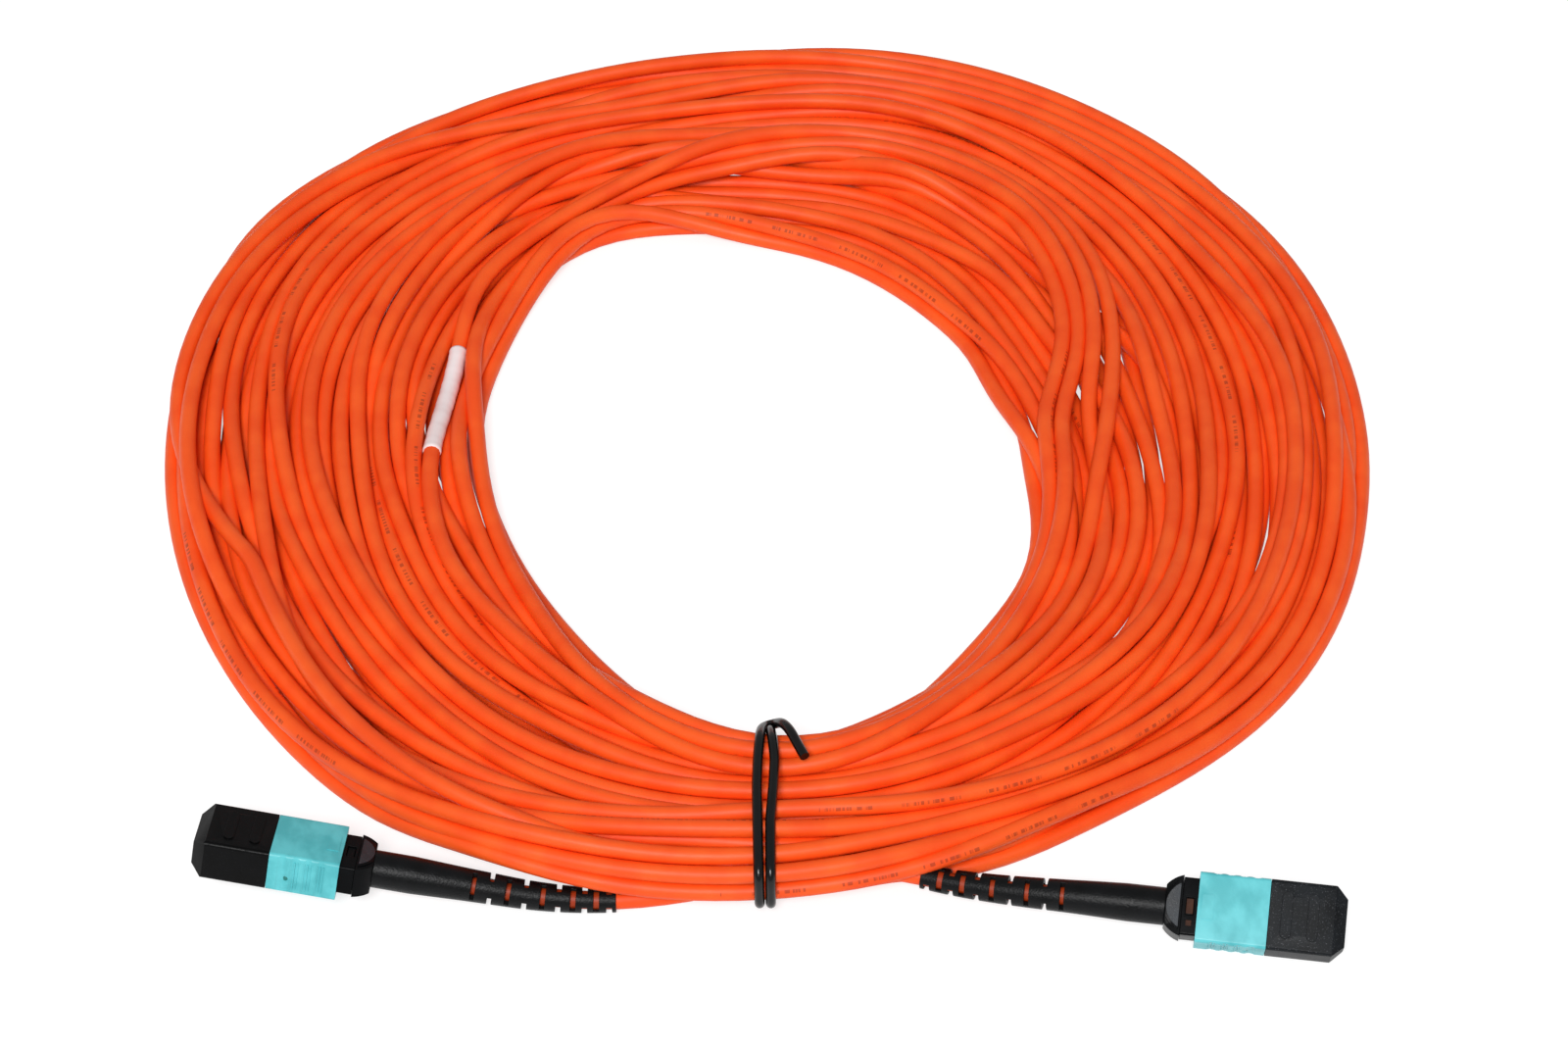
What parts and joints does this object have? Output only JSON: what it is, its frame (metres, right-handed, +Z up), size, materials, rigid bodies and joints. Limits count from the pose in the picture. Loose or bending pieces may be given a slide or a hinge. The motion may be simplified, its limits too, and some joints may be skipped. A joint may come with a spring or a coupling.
{
  "type": "fiber optic patch cord",
  "caption": "Coiled round fibre cord tied with a wire, with a push-on multi-fibre plug, slotted strain relief boot and dust cap at each end and a sleeve label.",
  "frame": {"origin": "on the floor, midway between the two plugs", "axes": "+Z up; +X from plug A towards plug B; the coil lies towards +Y"},
  "size_m": [0.2251, 0.2441, 0.0198],
  "materials": {
    "jacket": "smooth",
    "tie_wire": "smooth",
    "label": "satin",
    "cap_black": "satin",
    "aqua": "satin",
    "housing_black": "satin",
    "ferrule_resin": "fine ground",
    "clamp_resin": "satin",
    "soft_black": "matt",
    "fibre": "clear",
    "spring_steel": "bright",
    "aramid": "woven yarn",
    "crimp_metal": "satin"
  },
  "bodies": {
    "cord_set": {"cable_tail_a": "jacket", "cable_coil": "jacket", "cable_tail_b": "jacket", "wire_tie": "tie_wire", "label_sleeve": "label", "inner_housing_a": "housing_black", "spring_push_a": "housing_black", "aramid_sleeve_a": "aramid", "crimp_ring_a": "crimp_metal", "strain_boot_a": "soft_black", "main_spring_a": "spring_steel", "coupling_springs_a": "spring_steel", "inner_housing_b": "housing_black", "spring_push_b": "housing_black", "aramid_sleeve_b": "aramid", "crimp_ring_b": "crimp_metal", "strain_boot_b": "soft_black", "main_spring_b": "spring_steel", "coupling_springs_b": "spring_steel"},
    "dust_cap_a": {"dust_cap_a": "cap_black"},
    "coupling_a": {"coupling_housing_a": "aqua"},
    "ferrule_a": {"ferrule_a": "ferrule_resin", "pin_clamp_a": "clamp_resin", "ferrule_boot_a": "soft_black", "fibre_ribbon_a": "fibre"},
    "dust_cap_b": {"dust_cap_b": "cap_black"},
    "coupling_b": {"coupling_housing_b": "aqua"},
    "ferrule_b": {"ferrule_b": "ferrule_resin", "pin_clamp_b": "clamp_resin", "ferrule_boot_b": "soft_black", "fibre_ribbon_b": "fibre"}
  },
  "joints": [
    {"name": "dust_cap_a_pull", "type": "slide", "parent": "cord_set", "child": "dust_cap_a", "axis": [-0.9837, 0.0913, 0.1547], "range_m": [0, 0.03]},
    {"name": "coupling_a_slide", "type": "slide", "parent": "cord_set", "child": "coupling_a", "axis": [0.9837, -0.0913, -0.1547], "range_m": [0, 0.0022], "stiffness_N_per_m": 300, "springref_m": -0.004, "deforming": ["coupling_springs_a"]},
    {"name": "ferrule_a_float", "type": "slide", "parent": "cord_set", "child": "ferrule_a", "axis": [0.9837, -0.0913, -0.1547], "range_m": [0, 0.0009], "stiffness_N_per_m": 1500, "springref_m": -0.003, "deforming": ["main_spring_a"]},
    {"name": "dust_cap_b_pull", "type": "slide", "parent": "cord_set", "child": "dust_cap_b", "axis": [0.9903, -0.1392, 0], "range_m": [0, 0.03]},
    {"name": "coupling_b_slide", "type": "slide", "parent": "cord_set", "child": "coupling_b", "axis": [-0.9903, 0.1392, 0], "range_m": [0, 0.0022], "stiffness_N_per_m": 300, "springref_m": -0.004, "deforming": ["coupling_springs_b"]},
    {"name": "ferrule_b_float", "type": "slide", "parent": "cord_set", "child": "ferrule_b", "axis": [-0.9903, 0.1392, 0], "range_m": [0, 0.0009], "stiffness_N_per_m": 1500, "springref_m": -0.003, "deforming": ["main_spring_b"]}
  ]
}
